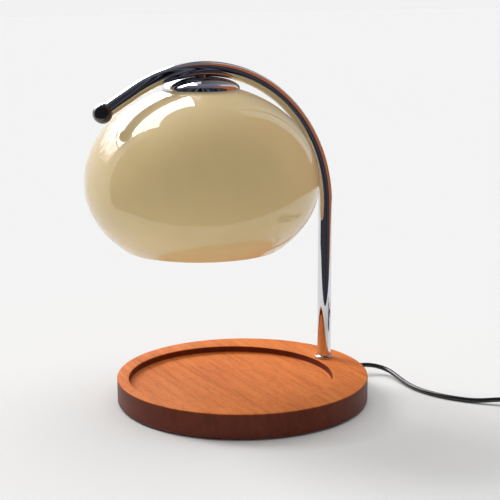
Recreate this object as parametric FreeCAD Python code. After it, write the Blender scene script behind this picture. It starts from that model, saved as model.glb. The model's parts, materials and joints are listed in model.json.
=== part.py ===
# Candle warmer lamp: a wooden tray with a round well, a bent chrome tube that carries a glass shade
# over it, a reflector lamp in the shade, and a mains lead with a thumbwheel dimmer.
# Millimetres. Origin at the centre of the underside, +Z up, +X towards the post; the arm lies in y = 0.
import FreeCAD, Part
import math
import os

V = FreeCAD.Vector
UP = V(0, 0, 1)

# Base
BASE_R = 107.5
BASE_TOP = 22.5
PAD_THICK = 1.5
PAD_R = 100.0
WELL_R = 87.0
WELL_X = -11.5
WELL_FLOOR = 16.0
BASE_TOP_ROUND = 1.4
BASE_FOOT_ROUND = 1.0
WELL_EDGE_ROUND = 0.8
WELL_FLOOR_ROUND = 1.5

# Post fixing in the underside
POST_X = 85.0
POCKET_R = 8.6
POCKET_TOP = 16.5
STUD_R = 4.95
STUD_BORE = 3.5
STUD_FOOT = 11.5
STUD_TOP = 38.0
WASHER_THICK = 1.0
WASHER_R = 8.3
THIN_NUT = 3.5
POST_NUT_FLATS = 14.0
FERRULE_R = 8.2
FERRULE_HIGH = 2.7
FERRULE_ROUND = 1.2

# Arm: a post, one bend centred over the shade, and a short straight tip
TUBE_R = 6.0
TUBE_BORE = 5.0
BEND_R = 122.5
BEND_Z = 161.0
BEND_TURN = 119.5
TIP_RUN = 25.5
BALL_R = 8.0
BALL_OUT = 5.5
SHADE_X = POST_X - BEND_R
ARM_APEX = BEND_Z + BEND_R

# Glass shade: two half ellipses that share an equator
SHADE_R = 96.0
EQUATOR = 191.5
CROWN_HIGH = 79.3
BOWL_DEEP = 72.6
GLASS = 3.0
GLASS_HOLE_R = 18.0
LIP_THICKNESS = 2.6
MOUTH_R = 66.0
CAP_R = 31.3
CAP_THICK = 0.8
CAP_SKIRT = 0.9
GASKET = 0.5

# Clamp stack and holder under the cap
NIPPLE_R = 4.0
NIPPLE_BORE = 2.4
NIPPLE_FOOT = 243.5
PLATE_R = 27.0
PLATE_THICK = 1.2
PLATE_TOP = 263.6
VENT_R = 2.5
VENT_CIRCLE = 13.0
GALLERY_NUT = 5.0
NUT_FLATS = 13.0
STRAP_WIDE = 12.0
STRAP_THICK = 1.2
STRAP_HALF = 19.2
STRAP_TOP = 251.2
HOLDER_TOP = 236.0
HOLDER_HIGH = 18.0
HOLDER_LONG = 32.0
HOLDER_DEEP = 20.0
HOLDER_SCREW_X = 12.0
HOLDER_SCREW_R = 1.5

# Twist-lock lamp with two headed pins
PIN_CIRCLE = 5.0
PIN_NECK_R = 1.45
PIN_HEAD_R = 2.45
PIN_NECK = 5.6
PIN_HEAD = 2.0
LOCK_TURN = 30.0
LIP_THICK = 4.9
BULB_GAP = 0.4
BULB_LONG = 46.5
BULB_R = 25.0
BULB_NECK_R = 11.0
LENS_R = 22.5
LENS_THICK = 3.0
LENS_DOME = 0.8

# Mains lead
CORD_R = 2.0
CORD_Z = CORD_R + 0.05
CORE_R = 1.6
EXIT_Z = 8.5
RELIEF_IN = 94.8
RELIEF_OUT = 116.5
RELIEF_HOLE_R = 3.3
RELIEF_COLLAR = 1.4
RELIEF_COLLAR_R = 4.3
RELIEF_ROOT_R = 3.2
RELIEF_TIP_R = CORD_R + 0.5
RELIEF_GROOVES = 3
RELIEF_GROOVE_DEEP = 0.35
COIL_X = 250.0
COIL_Y = -125.0
COIL_OUTER = 36.0
COIL_TURNS = 8
COIL_STEP = 2 * CORD_R + 0.45
TIE_THICK = 0.6
TIE_WIDE = 8.0
COIL_Z = CORD_R + TIE_THICK + 0.15

# Inline dimmer
DIMMER_LONG = 66.0
DIMMER_WIDE = 30.0
DIMMER_HIGH = 19.0
DIMMER_SPLIT = 9.5
DIMMER_WALL = 1.6
DIMMER_START = V(189.0, -150.0, 0)
DIMMER_HEADING = -50.0
WHEEL_R = 12.0
WHEEL_THICK = 5.0
WHEEL_LOW = 8.0
WHEEL_OUT = 6.0
WHEEL_RIBS = 30
POT_PIN_R = 1.5

# Flat two-pin plug
PLUG_WIDE = 35.3
PLUG_HIGH = 13.7
PLUG_BODY = 37.0
PLUG_NECK = 14.0
PLUG_PIN_R = 2.0
PLUG_PIN_LONG = 19.0
PLUG_PIN_SPACING = 18.6
PLUG_SLEEVE = 10.0


def save(name, shape):
    """Writes one node as parts/NAME.step."""
    shape.exportStep(os.path.join("parts", name + ".step"))


def cylinder(radius, low, high, x=0.0, y=0.0):
    """Upright cylinder between two heights."""
    return Part.makeCylinder(radius, high - low, V(x, y, low), UP)


def ring(outer, inner, low, high, x=0.0, y=0.0):
    """Upright ring between two heights."""
    return cylinder(outer, low, high, x, y).cut(cylinder(inner, low - 1, high + 1, x, y))


def block(x0, x1, y0, y1, z0, z1):
    """Box between two corners."""
    return Part.makeBox(x1 - x0, y1 - y0, z1 - z0, V(x0, y0, z0))


def hexagon_nut(flats, bore, low, high, x):
    """Hexagon nut round an upright axis in y = 0."""
    corner = flats / math.sqrt(3)
    angles = [k * math.pi / 3 for k in range(7)]
    points = [V(x + corner * math.cos(a), corner * math.sin(a), low) for a in angles]
    body = Part.Face(Part.makePolygon(points)).extrude(V(0, 0, high - low))
    return body.cut(cylinder(bore, low - 1, high + 1, x))


def line(a, b):
    return Part.makeLine(a, b)


def arc(a, through, b):
    return Part.Arc(a, through, b).toShape()


def turned(edges, x=0.0):
    """Solid of revolution about the upright axis through (x, 0), from edges drawn in the plane y = 0."""
    return Part.Face(Part.Wire(edges)).revolve(V(x, 0, 0), UP, 360)


def spherical(x, rim, hole, rim_z, pole_z):
    """Three points of a spherical arc in the plane y = 0, from its rim to its hole, that peaks at pole_z."""
    rise = pole_z - rim_z
    radius = (rim ** 2 + rise ** 2) / (2 * abs(rise))
    sink = lambda r: math.copysign(radius - math.sqrt(radius ** 2 - r ** 2), rise)
    return [V(x + r, 0, pole_z - sink(r)) for r in (rim, (rim + hole) / 2, hole)]


def ellipse_z(r, half_wide, half_high):
    """Height above the centre of an ellipse at radius r."""
    return half_high * math.sqrt(1 - (r / half_wide) ** 2)


def ellipse_edge(x, z, half_wide, half_high, r0, r1):
    """Arc of an ellipse in the plane y = 0 from radius r0 to r1; a negative half_high is the lower half."""
    centre = V(x, 0, z)
    wide = V(x + half_wide, 0, z)
    high = V(x, 0, z + half_high)
    curve = Part.Ellipse(wide, high, centre)
    near = math.acos(max(r0, r1) / half_wide)
    far = math.acos(min(r0, r1) / half_wide)
    return Part.ArcOfEllipse(curve, near, far).toShape()


def pipe(edges, radius):
    """Round tube along a path of straight runs and tangent arcs."""
    path = Part.Wire(edges)
    start = path.OrderedVertexes[0].Point
    first = path.OrderedEdges[0]
    ends = (first.FirstParameter, first.LastParameter)
    at = min(ends, key=lambda parameter: first.valueAt(parameter).distanceToPoint(start))
    section = Part.Wire(Part.makeCircle(radius, start, first.tangentAt(at)))
    return path.makePipeShell([section], True, False), path.Length


def route(points, name):
    """Edges of straight runs joined by tangent arcs; each arc takes 0.45 of its shorter run."""
    edges = []
    radii = []
    start = points[0]
    for before, corner, after in zip(points, points[1:], points[2:]):
        back = (before - corner).normalize()
        on = (after - corner).normalize()
        turn = math.pi - back.getAngle(on)
        reach = 0.45 * min(before.distanceToPoint(corner), corner.distanceToPoint(after))
        radius = reach / math.tan(turn / 2)
        middle = (back + on).normalize()
        centre = corner + middle * math.hypot(reach, radius)
        a = corner + back * reach
        b = corner + on * reach
        edges.append(line(start, a))
        edges.append(arc(a, centre - middle * radius, b))
        radii.append(radius)
        start = b
    edges.append(line(start, points[-1]))
    print(name, "radii", [round(r, 1) for r in radii])
    return edges


def check_tube(name, solid, length, radius):
    """Prints a tube's volume against its section times its length."""
    share = solid.Volume / (math.pi * radius ** 2 * length)
    print(f"{name}: length {length:.1f}, share {share:.4f}, valid {solid.isValid()}")


def circles(shape, z, radius):
    """The circular edges of a shape at one height and radius."""
    found = []
    for edge in shape.Edges:
        curve = edge.Curve
        if isinstance(curve, Part.Circle):
            if abs(curve.Radius - radius) < 1e-4 and abs(curve.Center.z - z) < 1e-4:
                found.append(edge)
    return found


def base_disc():
    """Turned wooden disc, with its well off centre and the post's pocket and cord hole below."""
    disc = cylinder(BASE_R, PAD_THICK, BASE_TOP)
    disc = disc.makeFillet(BASE_TOP_ROUND, circles(disc, BASE_TOP, BASE_R))
    disc = disc.makeFillet(BASE_FOOT_ROUND, circles(disc, PAD_THICK, BASE_R))
    well = cylinder(WELL_R, WELL_FLOOR, BASE_TOP + 1, WELL_X)
    well = well.makeFillet(WELL_FLOOR_ROUND, circles(well, WELL_FLOOR, WELL_R))
    disc = disc.cut(well)
    disc = disc.makeFillet(WELL_EDGE_ROUND, circles(disc, BASE_TOP, WELL_R))
    disc = disc.cut(cylinder(POCKET_R, 0, POCKET_TOP, POST_X))
    disc = disc.cut(cylinder(STUD_R + 0.15, 0, BASE_TOP + 1, POST_X))
    hole = Part.makeCylinder(RELIEF_HOLE_R, BASE_R - POST_X + 1, V(POST_X, 0, EXIT_Z), V(1, 0, 0))
    return disc.cut(hole)


def underside_pad():
    return cylinder(PAD_R, 0, PAD_THICK)


def post_ferrule():
    """Low chrome collar with a rounded shoulder."""
    collar = ring(FERRULE_R, TUBE_R + 0.05, BASE_TOP, BASE_TOP + FERRULE_HIGH, POST_X)
    return collar.makeFillet(FERRULE_ROUND, circles(collar, BASE_TOP + FERRULE_HIGH, FERRULE_R))


def post_fixing():
    """Hollow stud, washer and thin nut that hold the post in the wood."""
    save("post_stud", ring(STUD_R, STUD_BORE, STUD_FOOT, STUD_TOP, POST_X))
    low = POCKET_TOP - WASHER_THICK
    save("post_washer", ring(WASHER_R, STUD_R + 0.1, low, POCKET_TOP, POST_X))
    save("post_nut", hexagon_nut(POST_NUT_FLATS, STUD_R + 0.02, low - THIN_NUT, low, POST_X))


def tip_direction():
    turn = math.radians(BEND_TURN)
    return V(-math.sin(turn), 0, math.cos(turn))


def bend_end():
    turn = math.radians(BEND_TURN)
    return V(SHADE_X + BEND_R * math.cos(turn), 0, BEND_Z + BEND_R * math.sin(turn))


def arm_solid(radius):
    """Post, bend and tip at one radius."""
    post = cylinder(radius, BASE_TOP, BEND_Z, POST_X)
    section = Part.Face(Part.Wire(Part.makeCircle(radius, V(POST_X, 0, BEND_Z), UP)))
    bend = section.revolve(V(SHADE_X, 0, BEND_Z), V(0, -1, 0), BEND_TURN)
    tip = Part.makeCylinder(radius, TIP_RUN, bend_end(), tip_direction())
    return post.fuse([bend, tip]).removeSplitter()


def arm_tube():
    """One bent tube with a side hole for the hanger nipple at its highest point."""
    tube = arm_solid(TUBE_R).cut(arm_solid(TUBE_BORE))
    return tube.cut(cylinder(NIPPLE_R + 0.05, ARM_APEX - TUBE_R - 1, ARM_APEX - 1, SHADE_X))


def ball_cap():
    """Ball with a flat where it meets the tube and a spigot in the bore."""
    along = tip_direction()
    end = bend_end() + along * TIP_RUN
    ball = Part.makeSphere(BALL_R, end + along * BALL_OUT)
    behind = Part.makeCylinder(2 * BALL_R, BALL_R, end - along * BALL_R, along)
    spigot = Part.makeCylinder(TUBE_BORE - 0.1, 12.0, end - along * 10.0, along)
    return ball.cut(behind).fuse(spigot)


def glass_height(r, inset=0.0):
    """Height of the crown at radius r, on the outside or inset into the wall."""
    return EQUATOR + ellipse_z(r, SHADE_R - inset, CROWN_HIGH - inset)


def shade_glass():
    """Glass shell between two pairs of half ellipses, with a rounded mouth."""
    x = SHADE_X
    inner_r = SHADE_R - GLASS
    mouth_in = MOUTH_R - LIP_THICKNESS
    outer_mouth = EQUATOR - ellipse_z(MOUTH_R, SHADE_R, BOWL_DEEP)
    inner_mouth = EQUATOR - ellipse_z(mouth_in, inner_r, BOWL_DEEP - GLASS)
    hole_x = x + GLASS_HOLE_R
    edges = [
        line(V(hole_x, 0, glass_height(GLASS_HOLE_R, GLASS)), V(hole_x, 0, glass_height(GLASS_HOLE_R))),
        ellipse_edge(x, EQUATOR, SHADE_R, CROWN_HIGH, GLASS_HOLE_R, SHADE_R),
        ellipse_edge(x, EQUATOR, SHADE_R, -BOWL_DEEP, SHADE_R, MOUTH_R),
        arc(
            V(x + MOUTH_R, 0, outer_mouth),
            V(x + (MOUTH_R + mouth_in) / 2 - 0.6, 0, (outer_mouth + inner_mouth) / 2 - LIP_THICKNESS / 2),
            V(x + mouth_in, 0, inner_mouth),
        ),
        ellipse_edge(x, EQUATOR, inner_r, -(BOWL_DEEP - GLASS), mouth_in, inner_r),
        ellipse_edge(x, EQUATOR, inner_r, CROWN_HIGH - GLASS, inner_r, GLASS_HOLE_R),
    ]
    print("mouth of the glass at z", round(outer_mouth, 2), "crown edge at z", round(glass_height(CAP_R), 2))
    return turned(edges, x)


def cap_seat():
    """Height of the dome's lower edge, on its gasket."""
    return glass_height(CAP_R) + GASKET + 0.3


def cap_dome():
    """Spun dome with a short skirt; its top just meets the tube."""
    x = SHADE_X
    low = cap_seat()
    shoulder = low + CAP_SKIRT
    top = ARM_APEX - TUBE_R - 0.02
    hole = NIPPLE_R + 0.2
    outer = spherical(x, CAP_R, hole, shoulder, top)
    inner = spherical(x, CAP_R - CAP_THICK, hole, shoulder, top - CAP_THICK)
    edges = [
        line(V(x + CAP_R, 0, low), outer[0]),
        arc(*outer),
        line(outer[2], inner[2]),
        arc(*reversed(inner)),
        line(inner[0], V(x + CAP_R - CAP_THICK, 0, low)),
        line(V(x + CAP_R - CAP_THICK, 0, low), V(x + CAP_R, 0, low)),
    ]
    return turned(edges, x)


def soft_ring(r0, r1, flat, above):
    """Gasket with one flat face and one that follows the glass, 0.03 clear of it."""
    x = SHADE_X
    inset = 0.0 if above else GLASS
    clear = 0.03 if above else -0.03
    side = ellipse_edge(x, EQUATOR + clear, SHADE_R - inset, CROWN_HIGH - inset, r0, r1)
    a = V(x + r0, 0, glass_height(r0, inset) + clear)
    b = V(x + r1, 0, glass_height(r1, inset) + clear)
    a_flat = V(a.x, 0, flat)
    b_flat = V(b.x, 0, flat)
    return turned([side, line(b, b_flat), line(b_flat, a_flat), line(a_flat, a)], x)


def gallery_plate():
    """Round plate with a turned-down edge and vent holes."""
    x = SHADE_X
    low = PLATE_TOP - PLATE_THICK
    plate = cylinder(PLATE_R, low, PLATE_TOP, x)
    plate = plate.fuse(ring(PLATE_R, PLATE_R - PLATE_THICK, low - 2.5, PLATE_TOP, x)).removeSplitter()
    plate = plate.makeFillet(0.9, circles(plate, PLATE_TOP, PLATE_R))
    for k in range(6):
        a = math.radians(30 + 60 * k)
        vent_x = x + VENT_CIRCLE * math.cos(a)
        plate = plate.cut(cylinder(VENT_R, low - 1, PLATE_TOP + 1, vent_x, VENT_CIRCLE * math.sin(a)))
    return plate.cut(cylinder(NIPPLE_R + 0.1, low - 1, PLATE_TOP + 1, x))


def holder_bracket():
    """Bent steel strap: a bridge on the nipple, two legs and two feet that carry the holder."""
    x = SHADE_X
    w = STRAP_WIDE / 2
    t = STRAP_THICK
    top = block(x - STRAP_HALF, x + STRAP_HALF, -w, w, STRAP_TOP - t, STRAP_TOP)
    strap = top
    for side in (-1, 1):
        a, b = sorted((x + side * STRAP_HALF, x + side * (STRAP_HALF - t)))
        strap = strap.fuse(block(a, b, -w, w, HOLDER_TOP, STRAP_TOP))
        a, b = sorted((x + side * STRAP_HALF, x + side * 8.0))
        strap = strap.fuse(block(a, b, -w, w, HOLDER_TOP, HOLDER_TOP + t))
        screw_x = x + side * HOLDER_SCREW_X
        strap = strap.cut(cylinder(HOLDER_SCREW_R + 0.2, HOLDER_TOP - 1, HOLDER_TOP + 2, screw_x))
    strap = strap.removeSplitter()
    corners = [
        e for e in strap.Edges
        if abs(abs(e.CenterOfMass.x - x) - STRAP_HALF) < 1e-4
        and abs(e.CenterOfMass.y) < 1e-4
        and min(abs(e.CenterOfMass.z - HOLDER_TOP), abs(e.CenterOfMass.z - STRAP_TOP)) < 1e-4
    ]
    strap = strap.makeFillet(1.1, corners)
    return strap.cut(cylinder(NIPPLE_R + 0.1, STRAP_TOP - 3, STRAP_TOP + 1, x))


def curved_slot(width, low, high):
    """Two slots on the pin circle, from the locked place back to the entry, with round ends."""
    half = width / 2
    slots = []
    for first in (90.0 - LOCK_TURN, 270.0 - LOCK_TURN):
        wedge = Part.makeCylinder(PIN_CIRCLE + half, high - low, V(0, 0, low), UP, LOCK_TURN)
        wedge = wedge.cut(Part.makeCylinder(PIN_CIRCLE - half, high - low, V(0, 0, low), UP, 360))
        wedge.rotate(V(0, 0, 0), UP, first)
        slots.append(wedge)
        for turn in (first, first + LOCK_TURN):
            a = math.radians(turn)
            slots.append(cylinder(half, low, high, PIN_CIRCLE * math.cos(a), PIN_CIRCLE * math.sin(a)))
    cutter = slots[0].multiFuse(slots[1:])
    cutter.translate(V(SHADE_X, 0, 0))
    return cutter


def lamp_holder():
    """Ceramic block with keyhole slots: a wide entry, a narrow lip and a chamber for the pin heads."""
    x = SHADE_X
    low = HOLDER_TOP - HOLDER_HIGH
    long_half = HOLDER_LONG / 2
    deep_half = HOLDER_DEEP / 2
    body = block(x - long_half, x + long_half, -deep_half, deep_half, low, HOLDER_TOP)
    upright = [e for e in body.Edges if abs(e.tangentAt(e.FirstParameter).z) > 0.9]
    body = body.makeFillet(4.0, upright)
    rims = [e for e in body.Edges if abs(e.CenterOfMass.z - low) < 1e-4]
    body = body.makeChamfer(0.7, rims)
    body = body.cut(curved_slot(2 * PIN_NECK_R + 0.6, low - 1, low + LIP_THICK + 1))
    body = body.cut(curved_slot(2 * PIN_HEAD_R + 0.7, low + LIP_THICK, low + PIN_NECK + PIN_HEAD + 1))
    for first in (90.0 - LOCK_TURN, 270.0 - LOCK_TURN):
        a = math.radians(first)
        entry_x = x + PIN_CIRCLE * math.cos(a)
        entry_y = PIN_CIRCLE * math.sin(a)
        body = body.cut(cylinder(PIN_HEAD_R + 0.35, low - 1, low + LIP_THICK + 1, entry_x, entry_y))
    for side in (-1, 1):
        body = body.cut(cylinder(HOLDER_SCREW_R, HOLDER_TOP - 7, HOLDER_TOP + 1, x + side * HOLDER_SCREW_X))
    return body


def holder_screws():
    """Two round-headed screws, each its own solid."""
    screws = []
    for side in (-1, 1):
        x = SHADE_X + side * HOLDER_SCREW_X
        seat = HOLDER_TOP + STRAP_THICK
        head = cylinder(2.8, seat, seat + 1.8, x)
        head = head.makeFillet(1.0, circles(head, seat + 1.8, 2.8))
        head = head.cut(block(x - 3, x + 3, -0.35, 0.35, seat + 1.0, seat + 2))
        screws.append(head.fuse(cylinder(HOLDER_SCREW_R - 0.03, HOLDER_TOP - 6, seat, x)))
    return Part.makeCompound(screws)


def bulb():
    """Reflector lamp: a body that flares from its neck to its face, a domed lens and two headed pins."""
    x = SHADE_X
    top = HOLDER_TOP - HOLDER_HIGH - BULB_GAP
    face = top - BULB_LONG
    at = lambda r, z: V(x + r, 0, z)
    edges = [
        line(at(0, top), at(BULB_NECK_R - 1, top)),
        line(at(BULB_NECK_R - 1, top), at(BULB_NECK_R, top - 1)),
        line(at(BULB_NECK_R, top - 1), at(BULB_NECK_R, top - 13)),
        arc(at(BULB_NECK_R, top - 13), at(16.6, top - 20.5), at(21.0, top - 31)),
        arc(at(21.0, top - 31), at(23.4, top - 36.2), at(24.6, face + 5)),
        line(at(24.6, face + 5), at(BULB_R, face + 4.2)),
        line(at(BULB_R, face + 4.2), at(BULB_R, face + 0.6)),
        line(at(BULB_R, face + 0.6), at(BULB_R - 0.6, face)),
        line(at(BULB_R - 0.6, face), at(LENS_R + 0.1, face)),
        line(at(LENS_R + 0.1, face), at(LENS_R + 0.1, face + LENS_THICK + 0.5)),
        line(at(LENS_R + 0.1, face + LENS_THICK + 0.5), at(0, face + LENS_THICK + 0.5)),
        line(at(0, face + LENS_THICK + 0.5), at(0, top)),
    ]
    body = turned(edges, x)
    for side in (-1, 1):
        y0, y1 = sorted((side * (BULB_NECK_R - 1.2), side * (BULB_NECK_R + 1)))
        body = body.cut(block(x - BULB_NECK_R, x + BULB_NECK_R, y0, y1, top - 12, top + 1))
    save("bulb_body", body)
    dome = spherical(x, LENS_R, 0, face + LENS_DOME, face)
    lens = [
        line(at(0, face + LENS_THICK + 0.4), at(LENS_R, face + LENS_THICK + 0.4)),
        line(at(LENS_R, face + LENS_THICK + 0.4), dome[0]),
        arc(*dome),
        line(at(0, face), at(0, face + LENS_THICK + 0.4)),
    ]
    save("bulb_lens", turned(lens, x))
    pins = []
    for side in (-1, 1):
        neck = cylinder(PIN_NECK_R, top, top + PIN_NECK, x, side * PIN_CIRCLE)
        head = cylinder(PIN_HEAD_R, top + PIN_NECK, top + PIN_NECK + PIN_HEAD, x, side * PIN_CIRCLE)
        pins.append(neck.fuse(head).removeSplitter())
    save("bulb_pins", Part.makeCompound(pins))


def arc_xz(cx, cz, radius, first, last):
    """Arc in the plane y = 0 about (cx, cz), between two angles in degrees from +X."""

    def at(degrees):
        a = math.radians(degrees)
        return V(cx + radius * math.cos(a), 0, cz + radius * math.sin(a))

    return arc(at(first), at((first + last) / 2), at(last))


def inner_wires():
    """The lead's two cores in one sleeve: pocket, stud, post, bend, nipple and down to the holder."""
    foot = 6.0
    head = 5.0
    head_z = BEND_Z + math.sqrt((BEND_R - head) ** 2 - head ** 2)
    meet = math.degrees(math.atan2(head_z - BEND_Z, head))
    edges = [
        line(V(RELIEF_IN - 0.1, 0, EXIT_Z), V(POST_X + foot, 0, EXIT_Z)),
        arc_xz(POST_X + foot, EXIT_Z + foot, foot, 270, 180),
        line(V(POST_X, 0, EXIT_Z + foot), V(POST_X, 0, BEND_Z)),
        arc_xz(SHADE_X, BEND_Z, BEND_R, 0, meet),
        arc_xz(SHADE_X + head, head_z, head, meet, 180),
        line(V(SHADE_X, 0, head_z), V(SHADE_X, 0, HOLDER_TOP + 0.02)),
    ]
    solid, length = pipe(edges, CORE_R)
    check_tube("inner_wires", solid, length, CORE_R)
    return solid


def cord_relief():
    """Rubber sleeve: a plug in the wood, a collar against it and a grooved taper round the lead."""
    collar = BASE_R + 0.15
    root = collar + RELIEF_COLLAR
    plug_r = RELIEF_HOLE_R - 0.05
    slope = (RELIEF_ROOT_R - RELIEF_TIP_R) / (RELIEF_OUT - root)
    at = lambda u, r: V(u, 0, EXIT_Z + r)
    taper = lambda u, depth: at(u, RELIEF_ROOT_R - slope * (u - root) - depth)
    profile = [
        at(RELIEF_IN, 0),
        at(RELIEF_IN, plug_r),
        at(collar, plug_r),
        at(collar, RELIEF_COLLAR_R),
        at(root, RELIEF_COLLAR_R),
        at(root, RELIEF_ROOT_R),
    ]
    pitch = (RELIEF_OUT - root) / (RELIEF_GROOVES + 1)
    for k in range(RELIEF_GROOVES):
        u = root + pitch * (k + 0.75)
        profile += [taper(u, 0), taper(u, RELIEF_GROOVE_DEEP)]
        profile += [taper(u + pitch / 2, RELIEF_GROOVE_DEEP), taper(u + pitch / 2, 0)]
    profile += [at(RELIEF_OUT, RELIEF_TIP_R), at(RELIEF_OUT, 0), at(RELIEF_IN, 0)]
    return Part.Face(Part.makePolygon(profile)).revolve(V(0, 0, EXIT_Z), V(1, 0, 0), 360)


def heading(degrees):
    return V(math.cos(math.radians(degrees)), math.sin(math.radians(degrees)), 0)


def placed(shape, start, degrees):
    """Moves a piece drawn along +X from the origin to a start point and heading on the floor."""
    shape.rotate(V(0, 0, 0), UP, degrees)
    shape.translate(start)
    return shape


def dimmer_end():
    return DIMMER_START + heading(DIMMER_HEADING) * DIMMER_LONG


def lead_points():
    """Route of the lead from the relief to the dimmer: out, down to the floor and away."""
    return [
        V(RELIEF_OUT, 0, EXIT_Z),
        V(126.2, 0, EXIT_Z),
        V(135.2, -3.7, 8.0),
        V(141.6, -11.0, 6.6),
        V(143.9, -20.4, 5.1),
        V(142.8, -31.6, 3.7),
        V(140.1, -46.4, 2.4),
        V(138.2, -62.0, CORD_Z),
        V(139.8, -80.0, CORD_Z),
        V(147.0, -100.5, CORD_Z),
        V(160.0, -119.5, CORD_Z + 0.01),
        DIMMER_START - heading(DIMMER_HEADING) * 20 + V(0, 0, 5.4),
        DIMMER_START + V(0, 0, 6.5),
    ]


def middle_points():
    """Route from the dimmer round to the coil."""
    end = dimmer_end()
    return [
        end + V(0, 0, 6.5),
        end + heading(DIMMER_HEADING) * 12 + V(0, 0, 5.2),
        V(254.1, -215.3, 3.0),
        V(270.8, -211.8, CORD_Z),
        V(283.5, -199.0, CORD_Z),
        V(287.5, -178.0, 2.3),
        V(COIL_X + COIL_OUTER, -151.0, COIL_Z),
        V(COIL_X + COIL_OUTER, COIL_Y - 2 * CORD_R, COIL_Z),
    ]


def tail_points():
    """Route from the coil's end to the plug."""
    x = COIL_X + COIL_OUTER
    top = COIL_Z + COIL_STEP
    return [
        V(x, COIL_Y + 2 * CORD_R, top),
        V(x, COIL_Y + 14.0, top),
        V(x + 3.0, COIL_Y + 27.0, top - 0.4),
        V(x + 8.8, COIL_Y + 39.5, PLUG_HIGH / 2),
        V(x + 15.0, COIL_Y + 50.5, PLUG_HIGH / 2),
    ]


def coil_point(turn):
    """Centreline of the coil at a number of turns from its start, and its direction there.
    The radius falls by one step a turn to the middle turn and grows again; the height climbs one step
    over the half turn in the middle, as half a cosine wave."""
    middle = COIL_TURNS / 2
    radius = COIL_OUTER - COIL_STEP * min(turn, COIL_TURNS - turn)
    slope = -COIL_STEP if turn < middle else COIL_STEP
    share = min(max((turn - middle + 0.25) / 0.5, 0), 1)
    height = COIL_Z + COIL_STEP * (1 - math.cos(math.pi * share)) / 2
    climb = COIL_STEP * math.pi * math.sin(math.pi * share)
    a = 2 * math.pi * turn
    place = V(COIL_X + radius * math.cos(a), COIL_Y + radius * math.sin(a), height)
    grow = V(math.cos(a), math.sin(a), 0) * slope
    along = V(-math.sin(a), math.cos(a), 0) * (2 * math.pi * radius) + grow + V(0, 0, climb)
    return place, along.normalize()


def biarc(a, ta, b, tb):
    """Two arcs that leave a along ta, meet smoothly and reach b along tb."""
    v = b - a
    t = ta + tb
    p = v.dot(t)
    q = 2 * (1 - ta.dot(tb))
    d = (-p + math.sqrt(p * p + q * v.dot(v))) / q if q > 1e-9 else v.dot(v) / (4 * v.dot(tb))
    meet = (a + b + (ta - tb) * d) * 0.5

    def bow(start, direction, end):
        chord = end - start
        normal = chord - direction * chord.dot(direction)
        if normal.Length < 1e-7:
            return line(start, end)
        normal.normalize()
        radius = chord.dot(chord) / (2 * chord.dot(normal))
        centre = start + normal * radius
        middle = centre + ((start + end) * 0.5 - centre).normalize() * radius
        return arc(start, middle, end)

    return [bow(a, ta, meet), bow(b, tb * -1, meet)]


def cord_coil():
    """The wound length: one tube in two layers, straight for one diameter at both ends."""
    places = [coil_point(k / 4) for k in range(4 * COIL_TURNS + 1)]
    first = V(places[0][0].x, places[0][0].y, places[0][0].z)
    last = V(places[-1][0].x, places[-1][0].y, places[-1][0].z)
    places[0] = (first, V(0, 1, 0))
    places[-1] = (last, V(0, 1, 0))
    edges = [line(first - V(0, 2 * CORD_R, 0), first)]
    for (a, ta), (b, tb) in zip(places, places[1:]):
        edges += biarc(a, ta, b, tb)
    edges.append(line(last, last + V(0, 2 * CORD_R, 0)))
    solid, length = pipe(edges, CORD_R)
    check_tube("cord_coil", solid, length, CORD_R)
    print_coil_gap()
    return solid, length


def print_coil_gap():
    """Prints the least gap between turns, measured on points of the centreline."""
    count = 48
    points = [coil_point(k / count)[0] for k in range(count * COIL_TURNS + 1)]
    least = min(
        points[i].distanceToPoint(points[j])
        for i in range(len(points))
        for j in range(i + count // 2, len(points))
    )
    print("coil: outer radius", COIL_OUTER, "least gap to itself", round(least - 2 * CORD_R, 3))


def cord_tie():
    """Flat strap round the bundle of turns, on the side away from the cord's ends."""
    outer = COIL_OUTER + CORD_R + 0.5
    inner = COIL_OUTER - COIL_STEP * COIL_TURNS / 2 - CORD_R - 0.4
    low = COIL_Z - CORD_R - 0.1
    high = COIL_Z + COIL_STEP + CORD_R + 0.1
    t = TIE_THICK
    w = TIE_WIDE / 2
    strap = block(-outer - t, -inner + t, -w, w, low - t, high + t)
    strap = strap.makeFillet(1.5, [e for e in strap.Edges if abs(e.tangentAt(e.FirstParameter).y) > 0.9])
    hole = block(-outer, -inner, -w - 1, w + 1, low, high)
    hole = hole.makeFillet(0.9, [e for e in hole.Edges if abs(e.tangentAt(e.FirstParameter).y) > 0.9])
    strap = strap.cut(hole)
    strap.translate(V(COIL_X, COIL_Y, 0))
    return strap


def pill(x0, x1, half_wide, low, high, round_r):
    """Block along +X with rounded upright corners."""
    body = block(x0, x1, -half_wide, half_wide, low, high)
    return body.makeFillet(round_r, [e for e in body.Edges if abs(e.tangentAt(e.FirstParameter).z) > 0.9])


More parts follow.
